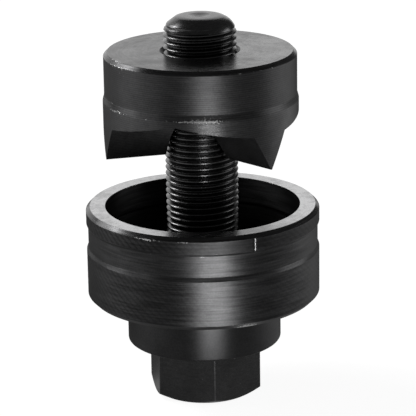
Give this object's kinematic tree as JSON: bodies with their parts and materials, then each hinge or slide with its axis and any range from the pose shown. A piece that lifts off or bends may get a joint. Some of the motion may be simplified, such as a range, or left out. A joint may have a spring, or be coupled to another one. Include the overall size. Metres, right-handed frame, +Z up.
{
  "type": "knockout punch",
  "caption": "Screw-drawn knockout punch: a toothed punch on a hex-headed draw stud pulls into a cup die over a shrouded thrust bearing to cut a round hole in sheet metal.",
  "frame": {"origin": "centre of the hex's flat end, on the stud's axis, where the part stands", "axes": "+Z up along the stud from its hex to its domed tip; -Y faces the viewer of the picture"},
  "size_m": [0.061, 0.061, 0.101],
  "materials": {
    "punch_steel": "black oxide over turned steel, ground cutting land",
    "die_steel": "black oxide over turned and finely knurled steel",
    "stud_steel": "oiled black oxide over rolled thread",
    "shroud_steel": "black oxide, satin",
    "race_steel": "ground bearing steel",
    "cage_brass": "pressed brass",
    "ball_steel": "polished bearing steel"
  },
  "bodies": {
    "die": {"die": "die_steel", "bearing_upper_race": "race_steel", "bearing_shroud": "shroud_steel"},
    "draw_stud": {"draw_stud": "stud_steel", "bearing_lower_race": "race_steel"},
    "punch": {"punch": "punch_steel"},
    "ball_cage": {"ball_cage": "cage_brass", "bearing_ball_01": "ball_steel", "bearing_ball_02": "ball_steel", "bearing_ball_03": "ball_steel", "bearing_ball_04": "ball_steel", "bearing_ball_05": "ball_steel", "bearing_ball_06": "ball_steel", "bearing_ball_07": "ball_steel", "bearing_ball_08": "ball_steel", "bearing_ball_09": "ball_steel", "bearing_ball_10": "ball_steel", "bearing_ball_11": "ball_steel", "bearing_ball_12": "ball_steel", "bearing_ball_13": "ball_steel"}
  },
  "joints": [
    {"name": "stud_turn", "type": "hinge", "parent": "die", "child": "draw_stud", "pos_m": [0, 0, 0.0143], "axis": [0, 0, 1], "range_deg": [-2880, 7200]},
    {"name": "punch_travel", "type": "slide", "parent": "die", "child": "punch", "axis": [0, 0, 1], "range_m": [-0.03176, 0.01271]},
    {"name": "cage_turn", "type": "hinge", "parent": "die", "child": "ball_cage", "pos_m": [0, 0, 0.02035], "axis": [0, 0, 1], "range_deg": [-1440.1, 3600.1]}
  ],
  "couplings": [
    {"joint": "punch_travel", "follows": "stud_turn", "m_per_rad": -0.00025266},
    {"joint": "cage_turn", "follows": "stud_turn", "ratio": 0.5}
  ]
}
